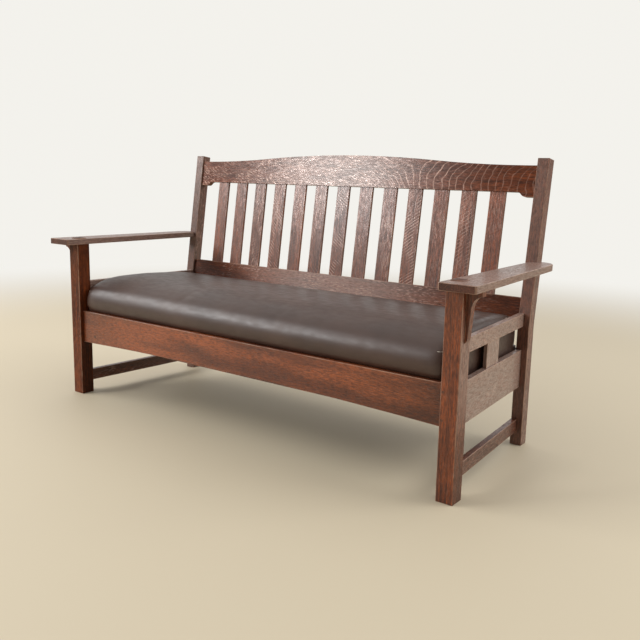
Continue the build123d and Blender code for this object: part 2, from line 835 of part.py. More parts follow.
with BuildPart() as seat_leather:
    with BuildSketch(Plane.XY.offset(cleat_top)) as skirt_plan:
        Polygon(*seat_corners(0, 0, 0), align=None)
        fillet(skirt_plan.vertices(), leather_corner)
    extrude(amount=waist_height - cleat_top)
    add(stuffed_form(0))
    with BuildSketch(Plane.XY.offset(cleat_top)):
        Polygon(*seat_corners(leather_underfold, leather_underfold, leather_underfold), align=None)
    extrude(amount=leather_thickness, mode=Mode.SUBTRACT)
    with BuildSketch(Plane.XY.offset(frame_base)) as hollow_plan:
        Polygon(*seat_corners(leather_thickness, leather_thickness, leather_thickness), align=None)
        fillet(hollow_plan.vertices(), leather_corner - leather_thickness)
    extrude(amount=waist_height - frame_base, mode=Mode.SUBTRACT)
    add(stuffing_form, mode=Mode.SUBTRACT)
finish(seat_leather, "seat_leather")

with BuildPart() as seat_padding:
    with BuildSketch(Plane.XY.offset(burlap_top)) as padding_plan:
        Polygon(*seat_corners(leather_thickness, leather_thickness, leather_thickness), align=None)
        fillet(padding_plan.vertices(), leather_corner - leather_thickness)
    extrude(amount=waist_height - burlap_top)
    add(stuffing_form)
finish(seat_padding, "seat_padding")

# Burlap sheet over the webbing
with BuildPart() as seat_burlap:
    with BuildSketch(Plane.XY.offset(webbing_top)):
        Polygon(*seat_corners(burlap_inset, burlap_inset, burlap_inset), align=None)
    extrude(amount=burlap_thickness)
finish(seat_burlap, "seat_burlap")


# Webbing: long straps over cross straps, tacked on the frame's top
def seat_span(low, high, near_y, far_y, near_x, far_x, mode=Mode.ADD):
    """A board between two heights, mirrored about the middle, from near to far."""
    with BuildSketch(Plane.XY.offset(low)) as plan:
        Polygon((-near_x, near_y), (near_x, near_y), (far_x, far_y), (-far_x, far_y), align=None)
    extrude(plan.sketch, amount=high - low, mode=mode)


with BuildPart() as seat_webbing_long:
    strap_reach = (seat_rear_y - seat_front_y) / 2 - seat_frame_width - webbing_width
    strap_middle = (seat_rear_y + seat_front_y) / 2
    for shift in spread(long_strap_count, strap_reach):
        near_y = strap_middle + shift - webbing_width / 2
        far_y = near_y + webbing_width
        seat_span(
            webbing_top - webbing_thickness,
            webbing_top,
            near_y,
            far_y,
            seat_x(near_y) - webbing_inset,
            seat_x(far_y) - webbing_inset,
        )
finish(seat_webbing_long, "seat_webbing_long")

with BuildPart() as seat_webbing_cross:
    strap_length = seat_rear_y - seat_front_y - 2 * webbing_inset
    strap_reach = seat_x(seat_rear_y) - seat_frame_width - webbing_width
    with BuildSketch(Plane.XY.offset(frame_top)):
        with Locations(*[(x, strap_middle) for x in spread(cross_strap_count, strap_reach)]):
            Rectangle(webbing_width, strap_length)
    extrude(amount=webbing_thickness)
finish(seat_webbing_cross, "seat_webbing_cross")

# Seat frame: front and rear boards run through, the side boards tenon into them
frame_near_y = seat_front_y + leather_thickness
frame_far_y = seat_rear_y - leather_thickness
joint_low = frame_base + (seat_frame_height - seat_joint_thickness) / 2
joint_high = joint_low + seat_joint_thickness


def frame_x(y, inset=0):
    """X of the seat frame's right edge at a depth y, less an inset."""
    return seat_x(y) - leather_thickness - inset


def side_frame_board(low, high, near_y, far_y, inset, width, mode=Mode.ADD):
    """A slanting board along the right edge of the seat frame."""
    with BuildSketch(Plane.XY.offset(low)) as plan:
        with BuildLine():
            Polyline(
                (frame_x(near_y, inset), near_y),
                (frame_x(far_y, inset), far_y),
                (frame_x(far_y, inset + width), far_y),
                (frame_x(near_y, inset + width), near_y),
                close=True,
            )
        make_face()
    extrude(plan.sketch, amount=high - low, mode=mode)


def side_frame_tenons(gap=0, mode=Mode.ADD):
    """Tenons of the right side board of the seat frame, or their mortises."""
    side_frame_board(
        joint_low - gap,
        joint_high + gap,
        frame_near_y + seat_frame_width - seat_joint_length - gap,
        frame_far_y - seat_frame_width + seat_joint_length + gap,
        slat_shoulder - gap,
        seat_frame_width - 2 * slat_shoulder + 2 * gap,
        mode,
    )


def brace_tenons(middle_x, gap=0, mode=Mode.ADD):
    """Tenons of one seat brace, or their mortises."""
    length = frame_far_y - frame_near_y - 2 * seat_frame_width + 2 * seat_joint_length + 2 * gap
    middle_y = (frame_near_y + frame_far_y) / 2
    width = seat_brace_width - 2 * slat_shoulder + 2 * gap
    block_on(Plane.XY.offset(joint_low - gap), (middle_x, middle_y), width, length,
             seat_joint_thickness + 2 * gap, mode)


brace_reach = seat_x(seat_rear_y) / 2
brace_places = spread(seat_brace_count, brace_reach)

with BuildPart() as seat_frame_front:
    far_y = frame_near_y + seat_frame_width
    seat_span(frame_base, frame_top, frame_near_y, far_y, frame_x(frame_near_y), frame_x(far_y))
    corner_edges = seat_frame_front.edges().filter_by(Axis.Z).group_by(Axis.Y)[0]
    fillet(corner_edges, leather_corner - leather_thickness)
    side_frame_tenons(play, Mode.SUBTRACT)
    for middle_x in brace_places:
        brace_tenons(middle_x, play, Mode.SUBTRACT)
    split(bisect_by=Plane.YZ, keep=Keep.TOP)
    mirror(about=Plane.YZ)
finish(seat_frame_front, "seat_frame_front")

with BuildPart() as seat_frame_rear:
    near_y = frame_far_y - seat_frame_width
    seat_span(frame_base, frame_top, near_y, frame_far_y, frame_x(near_y), frame_x(frame_far_y))
    corner_edges = seat_frame_rear.edges().filter_by(Axis.Z).group_by(Axis.Y)[-1]
    fillet(corner_edges, leather_corner - leather_thickness)
    side_frame_tenons(play, Mode.SUBTRACT)
    for middle_x in brace_places:
        brace_tenons(middle_x, play, Mode.SUBTRACT)
    split(bisect_by=Plane.YZ, keep=Keep.TOP)
    mirror(about=Plane.YZ)
finish(seat_frame_rear, "seat_frame_rear")

with BuildPart() as seat_frame_right:
    side_frame_board(
        frame_base,
        frame_top,
        frame_near_y + seat_frame_width,
        frame_far_y - seat_frame_width,
        0,
        seat_frame_width,
    )
    side_frame_tenons()
finish(seat_frame_right, "seat_frame_right")

with BuildPart() as seat_frame_left:
    mirror(seat_frame_right.part, about=Plane.YZ)
finish(seat_frame_left, "seat_frame_left")

for index, middle_x in enumerate(brace_places):
    brace_length = frame_far_y - frame_near_y - 2 * seat_frame_width
    with BuildPart() as seat_brace:
        with BuildSketch(Plane.XY.offset(frame_top - seat_brace_thickness)):
            with Locations((middle_x, (frame_near_y + frame_far_y) / 2)):
                Rectangle(seat_brace_width, brace_length)
        extrude(amount=seat_brace_thickness)
        brace_tenons(middle_x)
    finish(seat_brace, f"seat_brace_{index + 1}")

# Dust cover stapled under the seat, inside the cleats
cover_near_y = rail_back_y + cleat_width + dust_cover_gap
cover_far_y = rear_rail_front_y - cleat_width - dust_cover_gap
cover_near_x = side_x(cover_near_y, side_stock + cleat_width + dust_cover_gap)
cover_far_x = side_x(cover_far_y, side_stock + cleat_width + dust_cover_gap)

with BuildPart() as seat_dust_cover:
    seat_span(
        cleat_top - dust_cover_thickness,
        cleat_top,
        cover_near_y,
        cover_far_y,
        cover_near_x,
        cover_far_x,
    )
finish(seat_dust_cover, "seat_dust_cover")

with BuildPart() as cover_staples:
    staple_base = Plane.XY.offset(cleat_top - dust_cover_thickness)
    long_reach = cover_far_x - 2 * staple_inset
    side_reach = (cover_far_y - cover_near_y) / 2 - 2 * staple_inset
    side_middle = (cover_far_y + cover_near_y) / 2
    edge_places = [(x, y) for x in spread(long_staple_count, long_reach)
                   for y in (cover_near_y + staple_inset, cover_far_y - staple_inset)]
    side_places = [(side * (cover_far_x - staple_inset), side_middle + shift) for side in (-1, 1)
                   for shift in spread(side_staple_count, side_reach)]
    with BuildSketch(staple_base):
        with Locations(*edge_places):
            Rectangle(staple_crown, staple_wire)
        with Locations(*side_places):
            Rectangle(staple_wire, staple_crown)
    extrude(amount=-staple_wire)
finish(cover_staples, "cover_staples")
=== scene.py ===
"""Looks of the mission settle: fumed quarter-sawn oak and a stuffed leather seat, in metres."""

from math import cos, pi, radians, sin

import bmesh
import bpy
from mathutils import Matrix, Vector, noise
from mathutils.bvhtree import BVHTree


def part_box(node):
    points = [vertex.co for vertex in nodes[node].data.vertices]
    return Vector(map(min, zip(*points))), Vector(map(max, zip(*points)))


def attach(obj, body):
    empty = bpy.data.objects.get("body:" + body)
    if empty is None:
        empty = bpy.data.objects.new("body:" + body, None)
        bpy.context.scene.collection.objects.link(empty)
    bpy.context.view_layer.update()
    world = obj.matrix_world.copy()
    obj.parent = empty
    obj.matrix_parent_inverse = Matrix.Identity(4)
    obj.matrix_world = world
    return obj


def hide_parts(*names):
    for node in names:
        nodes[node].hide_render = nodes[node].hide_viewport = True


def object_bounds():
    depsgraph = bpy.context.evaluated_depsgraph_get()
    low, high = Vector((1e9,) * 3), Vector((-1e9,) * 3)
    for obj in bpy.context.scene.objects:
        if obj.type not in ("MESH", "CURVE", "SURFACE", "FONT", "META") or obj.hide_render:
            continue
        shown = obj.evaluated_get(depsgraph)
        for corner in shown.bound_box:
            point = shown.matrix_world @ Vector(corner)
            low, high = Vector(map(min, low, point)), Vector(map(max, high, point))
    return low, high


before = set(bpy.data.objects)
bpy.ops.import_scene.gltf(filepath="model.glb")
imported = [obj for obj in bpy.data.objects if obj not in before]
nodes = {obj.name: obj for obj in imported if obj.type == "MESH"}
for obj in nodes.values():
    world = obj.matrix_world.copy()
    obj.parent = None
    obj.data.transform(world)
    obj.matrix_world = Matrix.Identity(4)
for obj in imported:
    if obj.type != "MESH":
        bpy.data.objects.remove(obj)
cad_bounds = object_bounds()

# The camera, as solved from the photograph's edges
camera_place = Vector((1.7587, -2.1664, 0.9139))
camera_yaw = 0.6368
camera_pitch = -0.1778
camera_roll = 0.0224
camera_lens = 42.49
camera_sensor = 36.0
camera_shift = (-0.0041, -0.0156)

# A small knot in the front rail
knot_place = (-0.745, -0.3195, 0.248)
knot_stretch = (0.6, 0.0, 1.0)
knot_reach = (0.0065, 0.0015)
knot_share = 0.85

# Directions on the settle
back_slope = radians(8)
side_taper = 0.0685
up = Vector((0, 0, 1))
ahead = Vector((0, -1, 0))
along = Vector((1, 0, 0))
up_back = Vector((0, sin(back_slope), cos(back_slope)))
ahead_back = Vector((0, -cos(back_slope), sin(back_slope)))

# Colours, linear
oak_dark = (0.034, 0.009, 0.005, 1)
oak_light = (0.150, 0.034, 0.010, 1)
oak_warm = (0.290, 0.074, 0.022, 1)
oak_ray = (0.560, 0.340, 0.265, 1)
oak_pore = (0.014, 0.006, 0.004, 1)
oak_worn = (0.440, 0.270, 0.185, 1)
# The greyish colour below is a painted sheen: the room's reflection laid into the boards' colour
painted_sheen_colour = (0.330, 0.240, 0.200, 1)
oak_sheen = (1.0, 0.90, 0.85, 1)
oak_knot = (0.020, 0.008, 0.005, 1)
leather_dark = (0.038, 0.016, 0.010, 1)
leather_light = (0.060, 0.028, 0.018, 1)
floor_colour = (0.60, 0.52, 0.38, 1)
backdrop_colour = (0.90, 0.885, 0.84, 1)
room_colour = (1.0, 0.985, 0.96, 1)

# The oak's noises: cells a metre across the board, into it and along its grain, their detail
# and its roughness, and the range of the noise that is carried from none to all
growth_noise = ((230, 230, 3.5), 4, 0.62, 0.32, 0.68)
warm_noise = ((16, 16, 2.4), 2, 0.5, 0.30, 0.70)
mottle_noise = ((150, 150, 60), 3, 0.6, 0.3, 0.7)
pore_noise = ((900, 900, 42), 1, 0.5, 0.58, 0.70)
open_noise = ((300, 300, 40), 3, 0.65, 0.36, 0.64)
sway_noise = ((15, 15, 9), 2, 0.5)
patch_noise = ((34, 34, 13), 2, 0.5, 0.42, 0.60)
dash_noise = ((280, 280, 54), 2, 0.5, 0.53, 0.64)
cluster_noise = ((24, 24, 9), 2, 0.5, 0.36, 0.60)
rubbed_noise = ((18, 18, 18), 3, 0.6, 0.40, 0.62)

# How square a surface stands to a direction before it counts as facing it, or as an edge
facing_range = (0.5, 0.8)
edge_range = (0.92, 0.76)

# Ribbons: how much of each wave shows as a line, at the closest and the widest spacing
line_spacings = (0.012, 0.030)
line_starts = (0.62, 0.84)
line_end = 0.99

# What each layer of the oak does to its colour, its roughness and its relief
even_growth = 0.6
mottle_tones = (0.82, 1.16)
speckle_tones = (0.60, 0.72)
end_tone = 0.50
# How much of the painted sheen lies in the close grain and in the open grain
painted_sheen_spread = (0.6, 1.2)
pore_share = 0.5
rim_inner = 0.0034
rim_outer = 0.0010
worn_least = 0.22
worn_rubbed = 0.5
open_roughness = 0.27
closed_roughness = 0.52
pore_roughness = 0.20
ray_smoothness = 0.14
end_roughness = 0.5
growth_rise = 0.25
open_rise = 0.9

# The oak's finish: its bump's strength and depth, and a thin polish
oak_bump = (0.35, 0.0004)
oak_gloss = 0.5
coat_share = 0.5
coat_roughness = 0.19
mid_polish = 0.60
end_polish = 0.15
polish_span = (0.15, 0.72)


def node(tree, kind, inputs=None, **settings):
    """Adds a shader node with its settings, and fills or links its inputs."""
    made = tree.nodes.new(kind)
    for name, value in settings.items():
        setattr(made, name, value)
    for name, value in (inputs or {}).items():
        if isinstance(value, bpy.types.NodeSocket):
            tree.links.new(value, made.inputs[name])
        else:
            made.inputs[name].default_value = value
    return made


def maths(tree, operation, first, second=0.0):
    """One sum of two numbers or sockets."""
    return node(tree, "ShaderNodeMath", {0: first, 1: second}, operation=operation).outputs[0]


def product(tree, first, *others):
    """Numbers or sockets multiplied together."""
    for other in others:
        first = maths(tree, "MULTIPLY", first, other)
    return first


def total(tree, first, second):
    """Two numbers or sockets added."""
    return maths(tree, "ADD", first, second)


def difference(tree, first, second):
    """One number or socket, less another."""
    return maths(tree, "SUBTRACT", first, second)


def greatest(tree, first, *others):
    """The greatest of some numbers or sockets."""
    for other in others:
        first = maths(tree, "MAXIMUM", first, other)
    return first


def unsigned(tree, value):
    """A number without its sign."""
    return maths(tree, "ABSOLUTE", value)


def remap(tree, value, low, high, to_low=0.0, to_high=1.0):
    """A value carried smoothly from one range to another."""
    inputs = {"Value": value, "From Min": low, "From Max": high,
              "To Min": to_low, "To Max": to_high}
    made = node(tree, "ShaderNodeMapRange", inputs, interpolation_type="SMOOTHSTEP")
    return made.outputs["Result"]


def dot(tree, first, second):
    """How far one vector reaches along another."""
    made = node(tree, "ShaderNodeVectorMath", {0: first, 1: second}, operation="DOT_PRODUCT")
    return made.outputs["Value"]


def scaled(tree, vector, scale):
    """A vector stretched by three numbers."""
    made = node(tree, "ShaderNodeVectorMath", {0: vector, 1: scale}, operation="MULTIPLY")
    return made.outputs[0]


def noise_at(tree, vector, detail=2.0, roughness=0.5):
    """Soft noise, as a number about one half."""
    inputs = {"Vector": vector, "Scale": 1.0, "Detail": detail, "Roughness": roughness}
    return node(tree, "ShaderNodeTexNoise", inputs).outputs["Fac"]


def blended(tree, share, first, second):
    """Two colours mixed by a share."""
    inputs = {"Factor": share, 6: first, 7: second}
    return node(tree, "ShaderNodeMix", inputs, data_type="RGBA").outputs[2]


def object_place(tree):
    """Where a point is on the settle, as a vector."""
    return node(tree, "ShaderNodeTexCoord").outputs["Object"]


def object_part(tree, axis):
    """Where a point is on the settle, along one axis."""
    return node(tree, "ShaderNodeSeparateXYZ", {"Vector": object_place(tree)}).outputs[axis]


def new_material(name):
    """A material with its principled shader and its node tree."""
    material = bpy.data.materials.new(name)
    material.use_nodes = True
    tree = material.node_tree
    return material, tree, tree.nodes["Principled BSDF"]


def feed(tree, shader, colour, roughness, height, strength, distance):
    """Joins a colour, a roughness and a bump height to a shader."""
    tree.links.new(colour, shader.inputs["Base Color"])
    tree.links.new(roughness, shader.inputs["Roughness"])
    inputs = {"Height": height, "Strength": strength, "Distance": distance}
    bump = node(tree, "ShaderNodeBump", inputs)
    tree.links.new(bump.outputs["Normal"], shader.inputs["Normal"])


def oak_group():
    """Quarter-sawn oak: growth lines, pores, ray ribbons, flecks and edges worn light."""
    tree = bpy.data.node_groups.new("quartered_oak", "ShaderNodeTree")
    for name in ("Across", "Face", "Grain", "Centre"):
        tree.interface.new_socket(name=name, in_out="INPUT", socket_type="NodeSocketVector")
    for name in ("Low", "High", "Seed", "Tone", "Warmth", "Streaks", "Ribbons", "Spacing", "Slant",
                 "Curl", "Whole", "Wobble", "Flecks", "Lean", "PaintedSheen"):
        tree.interface.new_socket(name=name, in_out="INPUT", socket_type="NodeSocketFloat")
    for name, kind in (("Color", "NodeSocketColor"), ("Roughness", "NodeSocketFloat"),
                       ("Height", "NodeSocketFloat")):
        tree.interface.new_socket(name=name, in_out="OUTPUT", socket_type=kind)
    given = tree.nodes.new("NodeGroupInput").outputs
    place = node(tree, "ShaderNodeTexCoord").outputs
    shifted = node(tree, "ShaderNodeVectorMath", {0: place["Object"], 1: given["Centre"]},
                   operation="SUBTRACT").outputs[0]
    directions = ("Across", "Face", "Grain")
    height_on, depth_in, along_grain = (dot(tree, shifted, given[name]) for name in directions)
    across_facing, broad_facing, end_facing = (
        unsigned(tree, dot(tree, place["Normal"], given[name])) for name in directions)
    on_face = remap(tree, broad_facing, *facing_range)

    def own_noise(scale, detail, roughness, lean=None):
        """Noise of the board's own, which may lean off the grain."""
        first = height_on
        if lean:
            first = total(tree, height_on, product(tree, along_grain, lean))
        spot = node(tree, "ShaderNodeCombineXYZ", {"X": first, "Y": depth_in, "Z": along_grain})
        seed = node(tree, "ShaderNodeCombineXYZ",
                    {"X": given["Seed"], "Y": given["Seed"], "Z": given["Seed"]})
        moved = node(tree, "ShaderNodeVectorMath",
                     {0: scaled(tree, spot.outputs[0], scale), 1: seed.outputs[0]}, operation="ADD")
        return noise_at(tree, moved.outputs[0], detail, roughness)

    def layer(scale, detail, roughness, low, high, lean=None, to_low=0.0, to_high=1.0):
        """The board's own noise, carried from a range of it to another range."""
        return remap(tree, own_noise(scale, detail, roughness, lean), low, high, to_low, to_high)

    mottle_low, mottle_high = mottle_tones
    growth = layer(*growth_noise)
    evenness = product(tree, difference(tree, 1.0, given["Streaks"]), even_growth)
    growth = total(tree, product(tree, growth, given["Streaks"]), evenness)
    warmer = layer(*warm_noise)
    mottle = layer(*mottle_noise, to_low=mottle_low, to_high=mottle_high)
    pores = layer(*pore_noise)
    open_grain = layer(*open_noise)

    # Ribbons: thin bright lines that lean and curl across the grain, broken into patches
    sway = difference(tree, own_noise(*sway_noise), 0.5)
    curled = product(tree, height_on, height_on, given["Curl"])
    leaning = total(tree, product(tree, height_on, given["Slant"]), curled)
    turns = maths(tree, "DIVIDE", difference(tree, along_grain, leaning), given["Spacing"])
    turns = total(tree, turns, product(tree, sway, given["Wobble"]))
    wave = maths(tree, "SINE", product(tree, turns, 2 * pi))
    line_start = remap(tree, given["Spacing"], *line_spacings, *line_starts)
    lines = remap(tree, wave, line_start, line_end)
    patches = greatest(tree, layer(*patch_noise), given["Whole"])
    ribbons = product(tree, lines, patches, given["Ribbons"])

    # Flecks: short bright dashes along the grain or leaning off it
    dashes = layer(*dash_noise, lean=given["Lean"])
    flecks = product(tree, dashes, layer(*cluster_noise), given["Flecks"])
    rays = product(tree, greatest(tree, ribbons, flecks), on_face)

    # Wear: on the eased edges, and a little way in from the long ones
    squarest = greatest(tree, across_facing, broad_facing, end_facing)
    eased = remap(tree, squarest, *edge_range)
    rim_top = remap(tree, difference(tree, given["High"], height_on), rim_inner, rim_outer)
    rim_foot = remap(tree, difference(tree, height_on, given["Low"]), rim_inner, rim_outer)
    rims = product(tree, greatest(tree, rim_top, rim_foot), on_face)
    worn_share = total(tree, worn_least, product(tree, layer(*rubbed_noise), worn_rubbed))
    worn = product(tree, greatest(tree, eased, rims), worn_share)

    # Colour: growth lines, warm patches, tone, a painted sheen that lies most in the open grain,
    # rays, pores and wear
    wood = blended(tree, growth, oak_dark, oak_light)
    wood = blended(tree, product(tree, warmer, given["Warmth"]), wood, oak_warm)
    least_speckle, speckle_more = speckle_tones
    speckled = total(tree, least_speckle, product(tree, open_grain, speckle_more))
    end_shade = remap(tree, end_facing, *facing_range, 1.0, end_tone)
    shade = product(tree, given["Tone"], mottle, speckled, end_shade)
    toned = node(tree, "ShaderNodeVectorMath", {0: wood, "Scale": shade}, operation="SCALE")
    # Painted sheen: a greyish reflection of the room laid over the faces, most in the open grain,
    # none on end grain
    off_end = remap(tree, end_facing, *facing_range, 1.0, 0.0)
    painted_sheen_share = product(tree, given["PaintedSheen"], remap(tree, open_grain, 0.0, 1.0, *painted_sheen_spread), off_end)
    wood = blended(tree, painted_sheen_share, toned.outputs[0], painted_sheen_colour)
    wood = blended(tree, rays, wood, oak_ray)
    wood = blended(tree, product(tree, pores, pore_share), wood, oak_pore)
    wood = blended(tree, worn, wood, oak_worn)

    # Roughness and relief
    polished = difference(tree, remap(tree, open_grain, 0.0, 1.0, closed_roughness, open_roughness),
                          product(tree, rays, ray_smoothness))
    rough = total(tree, product(tree, pores, pore_roughness), polished)
    sawn = difference(tree, end_roughness, product(tree, end_shade, end_roughness))
    rough = total(tree, rough, sawn)
    raised = total(tree, product(tree, growth, growth_rise), product(tree, open_grain, open_rise))
    height = difference(tree, raised, pores)
    node(tree, "NodeGroupOutput", {"Color": wood, "Roughness": rough, "Height": height})
    return tree


quartered_oak = oak_group()
seeds = iter(range(11, 2000, 37))


def oak(piece, across, face, grain, tone=1.0, warmth=0.35, streaks=0.8, ribbons=0.0,
        spacing=0.010, slant=0.5, wobble=1.5, flecks=0.25, painted_sheen=0.0, gloss=oak_gloss):
    """Gives one oak piece its own board of quarter-sawn oak."""
    low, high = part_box(piece)
    centre = (low + high) / 2
    reach = [(vertex.co - centre).dot(across) for vertex in nodes[piece].data.vertices]
    material, tree, shader = new_material("oak_" + piece)
    group = node(tree, "ShaderNodeGroup", node_tree=quartered_oak)
    values = {"Across": across, "Face": face, "Grain": grain, "Centre": centre, "Low": min(reach),
              "High": max(reach), "Seed": next(seeds), "Tone": tone, "Warmth": warmth,
              "Streaks": streaks, "Ribbons": ribbons, "Spacing": spacing, "Slant": slant,
              "Wobble": wobble, "Flecks": flecks, "PaintedSheen": painted_sheen}
    for name, value in values.items():
        group.inputs[name].default_value = value
    feed(tree, shader, group.outputs["Color"], group.outputs["Roughness"],
         group.outputs["Height"], *oak_bump)
    shader.inputs["Specular IOR Level"].default_value = gloss
    shader.inputs["Specular Tint"].default_value = oak_sheen
    shader.inputs["Coat Weight"].default_value = coat_share * gloss
    shader.inputs["Coat Roughness"].default_value = coat_roughness
    nodes[piece].material_slots[0].material = material
    return tree, group


def dull_ends(tree, from_middle):
    """Less polish towards both ends of a long rail."""
    polish = remap(tree, from_middle, *polish_span, mid_polish, end_polish)
    shader = tree.nodes["Principled BSDF"]
    tree.links.new(polish, shader.inputs["Specular IOR Level"])
    tree.links.new(product(tree, polish, coat_share), shader.inputs["Coat Weight"])


def vary(tree, group, place, changes):
    """Lets what a board is given change from place to place.

    Each change is the two places where it starts and ends, and the values that it has there.
    """
    for name, change in changes.items():
        tree.links.new(remap(tree, place, *change), group.inputs[name])


# Oak, board by board. The left end is darker all over with painted shade, and the arms' shadow is
# painted on the legs' tops
side_painted_shade = {"left": 0.70, "right": 1.0}
leg_gloss = {"left": 0.15, "right": 0.45}
leg_top_shadow_share = {"left": 0.60, "right": 0.80}
leg_top_span = (0.46, 0.60)
leg_foot_shade = (0.14, 0.36, 0.46, 0.0)
leg_painted_sheen_rise = (0.15, 0.36, 0.0, 0.55)
leg_painted_sheen_fall = (0.60, 0.46)
for side, sign in (("left", -1), ("right", 1)):
    slant_back = Vector((-side_taper * sign, 1, 0)).normalized()
    outward = Vector((sign, 0, 0))
    leg_tone = 1.30 * side_painted_shade[side]
    leg_tree, leg_group = oak(f"front_leg_{side}", along, ahead, up, leg_tone, 0.45, 1.0,
                              flecks=0.06, gloss=leg_gloss[side])
    leg_height = object_part(leg_tree, "Z")
    leg_normal = node(leg_tree, "ShaderNodeTexCoord").outputs["Normal"]
    leg_side = unsigned(leg_tree, dot(leg_tree, leg_normal, along))
    # Painted sheen on the right leg's sides, strongest at mid height
    if side == "right":
        leg_painted_sheen = product(leg_tree, leg_side, remap(leg_tree, leg_height, *leg_painted_sheen_rise),
                           remap(leg_tree, leg_height, *leg_painted_sheen_fall))
        leg_tree.links.new(leg_painted_sheen, leg_group.inputs["PaintedSheen"])
    # Painted shade on the legs' sides, darkest near the foot, and the arms' shadow painted on the
    # legs' tops
    foot_shade = product(leg_tree, leg_side, remap(leg_tree, leg_height, *leg_foot_shade))
    top_tone = remap(leg_tree, leg_height, *leg_top_span, leg_tone, leg_top_shadow_share[side] * leg_tone)
    shaded_tone = product(leg_tree, difference(leg_tree, 1.0, foot_shade), top_tone)
    leg_tree.links.new(shaded_tone, leg_group.inputs["Tone"])
    rear_tone = 1.05 * side_painted_shade[side]
    # The sheen values here are painted sheen, most on the side boards and the arms
    oak(f"rear_leg_{side}", ahead, outward, up, rear_tone, 0.20, flecks=0.45, painted_sheen=0.20)
    oak(f"side_seat_rail_{side}", up, outward, slant_back, 1.60, 0.25, flecks=0.30, painted_sheen=0.85)
    oak(f"upper_side_rail_{side}", up, outward, slant_back, 1.50, 0.20, flecks=0.40, painted_sheen=0.76)
    oak(f"lower_stretcher_{side}", up, outward, slant_back, 0.85, 0.25, flecks=0.30, painted_sheen=0.06)
    oak(f"side_slat_{side}", ahead, outward, up, 1.80, 0.20, flecks=0.30, painted_sheen=0.95)
    oak(f"arm_{side}", along, up, slant_back, 1.10, 0.30, flecks=0.35, painted_sheen=0.62)
    oak(f"corbel_{side}", along, ahead, up, 1.1, 0.45, flecks=0.10)
oak("rear_seat_rail", up, ahead, along, 1.0, 0.30)

# Lower back rail: a painted sheen and a lighter tone in the middle, and painted shade towards both
# ends
back_tree, back_group = oak("lower_back_rail", up_back, ahead_back, along, warmth=0.40, streaks=0.7)
back_out = unsigned(back_tree, object_part(back_tree, "X"))
vary(back_tree, back_group, back_out, {
    "Tone": (0.22, 0.76, 1.42, 0.66),
    "PaintedSheen": (0.12, 0.62, 0.52, 0.0),
    "Flecks": (0.40, 0.72, 0.65, 0.10),
})
dull_ends(back_tree, back_out)

# Front rail: even orange-brown, with painted shade darkening both ends, and one small knot
rail_tree, rail_group = oak("front_seat_rail", up, ahead, along, warmth=0.80, streaks=0.30,
                            flecks=0.05)
rail_out = unsigned(rail_tree, object_part(rail_tree, "X"))
vary(rail_tree, rail_group, rail_out, {"Tone": (0.35, 0.80, 1.20, 0.74)})
knot_gap = node(rail_tree, "ShaderNodeVectorMath", {0: object_place(rail_tree), 1: knot_place},
                operation="SUBTRACT").outputs[0]
knot_distance = node(rail_tree, "ShaderNodeVectorMath",
                     {0: scaled(rail_tree, knot_gap, knot_stretch)},
                     operation="LENGTH").outputs["Value"]
knot = product(rail_tree, remap(rail_tree, knot_distance, *knot_reach), knot_share)
rail_colour = blended(rail_tree, knot, rail_group.outputs["Color"], oak_knot)
rail_tree.links.new(rail_colour, rail_tree.nodes["Principled BSDF"].inputs["Base Color"])

# Crest: scaly flecks on the left half, ribbons that steepen and become long arcs on the right
crest_ribbons_rise = (-0.60, -0.05, 0.50, 1.0)
crest_ribbons_fade = (0.35, 0.78, 1.0, 0.24)
crest_tree, crest_group = oak("crest_rail", up_back, ahead_back, along, warmth=0.45, streaks=0.7,
                              wobble=2.0, gloss=mid_polish)
crest_x = object_part(crest_tree, "X")
crest_out = unsigned(crest_tree, crest_x)
vary(crest_tree, crest_group, crest_x, {
    "Slant": (-0.05, 0.50, -2.4, 0.50),
    "Curl": (0.20, 0.50, 0.0, 6.5),
    "Whole": (0.10, 0.40, 0.0, 0.60),
    "Spacing": (-0.30, 0.60, 0.013, 0.027),
    "Lean": (-0.60, 0.10, 0.30, 0.05),
    "Flecks": (0.05, 0.35, 1.3, 0.12),
    "Tone": (0.10, 0.60, 1.0, 0.85),
})
# A painted sheen in the crest's middle, fading to none towards both ends
vary(crest_tree, crest_group, crest_out, {"PaintedSheen": (0.0, 0.42, 0.38, 0.0)})
crest_ribbons = product(crest_tree, remap(crest_tree, crest_x, *crest_ribbons_rise),
                        remap(crest_tree, crest_x, *crest_ribbons_fade))
crest_tree.links.new(crest_ribbons, crest_group.inputs["Ribbons"])
dull_ends(crest_tree, crest_out)

# Each slat's tone, warmth, ribbons, their spacing and slant, and flecks
slat_tone = 1.2
slat_wobble = 1.3
slat_gloss = 0.62
slat_looks = (
    (1.05, 0.40, 0.10, 0.012, 0.5, 0.15),
    (1.10, 0.30, 0.15, 0.012, 0.5, 0.40),
    (1.05, 0.22, 0.20, 0.012, 0.5, 0.65),
    (1.10, 0.30, 0.85, 0.014, -0.9, 0.35),
    (1.10, 0.40, 0.10, 0.012, 0.5, 0.20),
    (1.05, 0.25, 0.25, 0.022, -1.2, 0.40),
    (1.00, 0.22, 1.00, 0.0125, -0.7, 0.20),
    (1.10, 0.40, 0.10, 0.012, 0.5, 0.25),
    (1.05, 0.22, 0.15, 0.012, 0.5, 0.65),
    (1.00, 0.30, 1.00, 0.0125, 0.7, 0.20),
    (1.10, 0.35, 0.10, 0.012, 0.5, 0.30),
    (1.10, 0.35, 0.50, 0.014, 0.7, 0.40),
    (1.20, 0.40, 0.10, 0.012, 0.5, 0.30),
)
